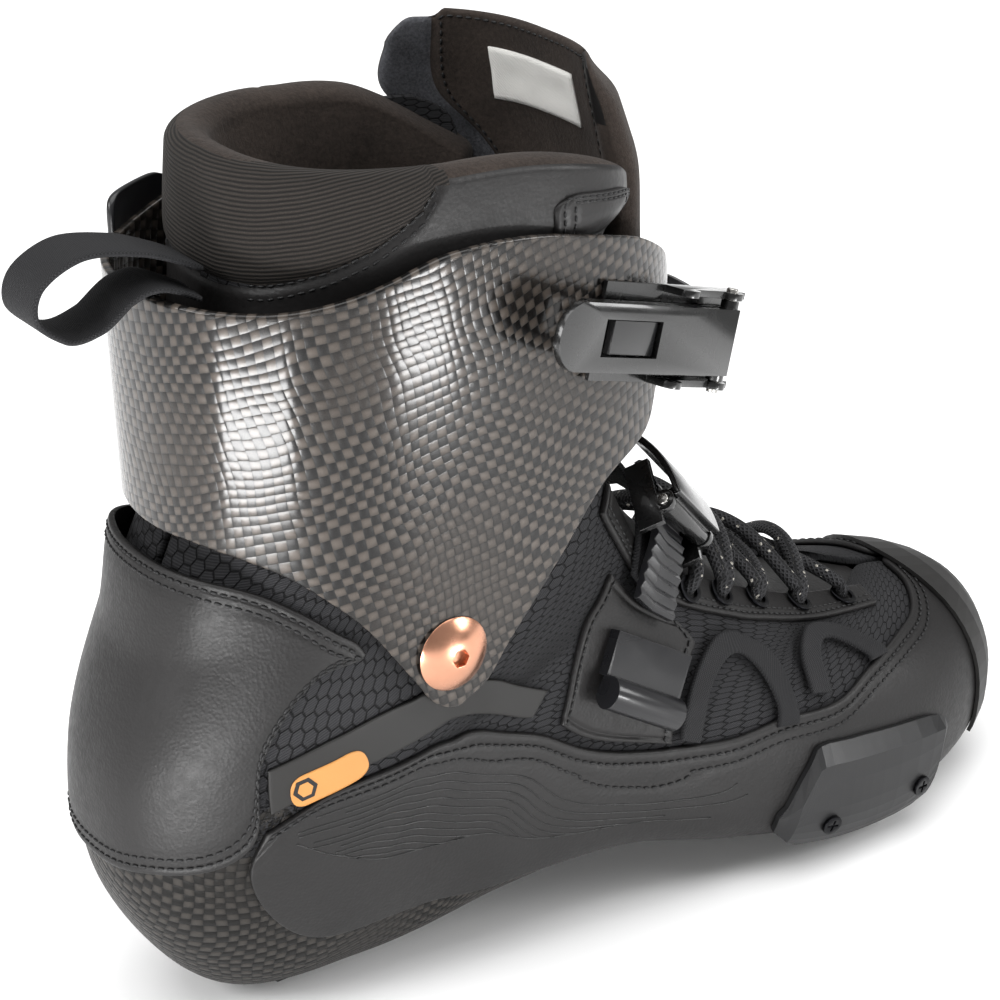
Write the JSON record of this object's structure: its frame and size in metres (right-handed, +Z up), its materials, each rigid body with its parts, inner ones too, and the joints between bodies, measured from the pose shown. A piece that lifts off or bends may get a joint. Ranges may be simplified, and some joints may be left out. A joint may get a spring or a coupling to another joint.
{
  "type": "speed skate boot",
  "caption": "Inline speed skate boot with carbon sole and hinged carbon cuff, ratchet buckles, laces and padded tongue, bare of frame and wheels.",
  "frame": {"origin": "mouth of the heel mounting hole, on the flat heel face under the sole", "axes": "+X towards the toe, +Y towards the inner side of this right boot, +Z up"},
  "size_m": [0.2908, 0.1143, 0.2371],
  "materials": {
    "carbon_satin": "satin carbon fibre",
    "carbon_gloss": "clear coated carbon fibre",
    "sole_plastic": "matte",
    "insert_steel": "plated steel",
    "insole_foam": "cloth faced foam",
    "upper_textile": "hexagon mesh cloth",
    "suede_lining": "brushed suede cloth",
    "black_leather": "fine grain",
    "toe_rubber": "matte rubber",
    "gold_print": "printed gold",
    "black_metal": "black anodised",
    "lace_cord": "braided cord",
    "label_cloth": "plain white cloth",
    "webbing": "woven webbing",
    "slider_plastic": "hard moulded plastic",
    "strap_plastic": "moulded plastic",
    "buckle_metal": "gloss black",
    "pin_steel": "steel",
    "black_plastic": "gloss",
    "copper_bolt": "copper anodised"
  },
  "bodies": {
    "boot": {"sole_shell": "carbon_satin", "heel_mount_pad": "sole_plastic", "toe_mount_pad": "sole_plastic", "heel_insert": "insert_steel", "toe_insert": "insert_steel", "insole": "insole_foam", "upper_lateral": "upper_textile", "upper_medial": "upper_textile", "collar_padding": "suede_lining", "heel_counter": "black_leather", "rand_lateral": "black_leather", "rand_medial": "black_leather", "toe_bumper": "toe_rubber", "side_band_lateral": "black_leather", "side_band_medial": "black_leather", "side_badge": "gold_print", "side_panel_lateral": "black_leather", "side_panel_medial": "black_leather", "eyestay_lateral": "black_leather", "eyestay_medial": "black_leather", "eyelets_lateral": "black_metal", "eyelets_medial": "black_metal", "lace_lower_run": "lace_cord", "lace_upper_run": "lace_cord", "tongue": "suede_lining", "tongue_label": "label_cloth", "webbing_loop_rear_lateral": "webbing", "webbing_loop_front_lateral": "webbing", "webbing_loop_rear_medial": "webbing", "webbing_loop_front_medial": "webbing", "pull_loop": "webbing", "toe_slider": "slider_plastic", "slider_screw_rear": "black_metal", "slider_screw_front": "black_metal", "strap_anchor_block": "strap_plastic", "instep_ladder_strap": "strap_plastic", "instep_strap": "webbing", "instep_buckle_base": "buckle_metal", "instep_buckle_pin": "pin_steel", "ankle_bolt_lateral": "copper_bolt", "ankle_bolt_medial": "copper_bolt", "ankle_nut_lateral": "pin_steel", "ankle_nut_medial": "pin_steel"},
    "cuff": {"cuff_shell": "carbon_gloss", "cuff_bushing_lateral": "pin_steel", "cuff_bushing_medial": "pin_steel", "upper_buckle_base": "buckle_metal", "upper_buckle_pin": "pin_steel", "upper_ladder_strap": "strap_plastic", "upper_strap_anchor": "buckle_metal", "upper_strap_screw": "buckle_metal"},
    "upper_lever": {"upper_lever": "buckle_metal"},
    "upper_release": {"upper_release": "black_plastic"},
    "instep_lever": {"instep_lever": "buckle_metal"}
  },
  "joints": [
    {"name": "cuff_flex", "type": "hinge", "parent": "boot", "child": "cuff", "pos_m": [0.0253, 0, 0.102], "axis": [0, 1, 0], "range_deg": [-3, 7.5], "deforming": ["pull_loop"]},
    {"name": "upper_lever_swing", "type": "hinge", "parent": "cuff", "child": "upper_lever", "pos_m": [0.11283, -0.04228, 0.1605], "axis": [0.3304, 0.0885, 0.9397], "range_deg": [0, 95]},
    {"name": "upper_release_tab", "type": "hinge", "parent": "upper_lever", "child": "upper_release", "pos_m": [0.08192, -0.05035, 0.17213], "axis": [0.3304, 0.0885, 0.9397], "range_deg": [0, 12], "stiffness_Nm_per_rad": 0.02},
    {"name": "instep_lever_swing", "type": "hinge", "parent": "boot", "child": "instep_lever", "pos_m": [0.10721, -0.03318, 0.10839], "axis": [0.6571, 0.1775, -0.7326], "range_deg": [0, 95]}
  ]
}
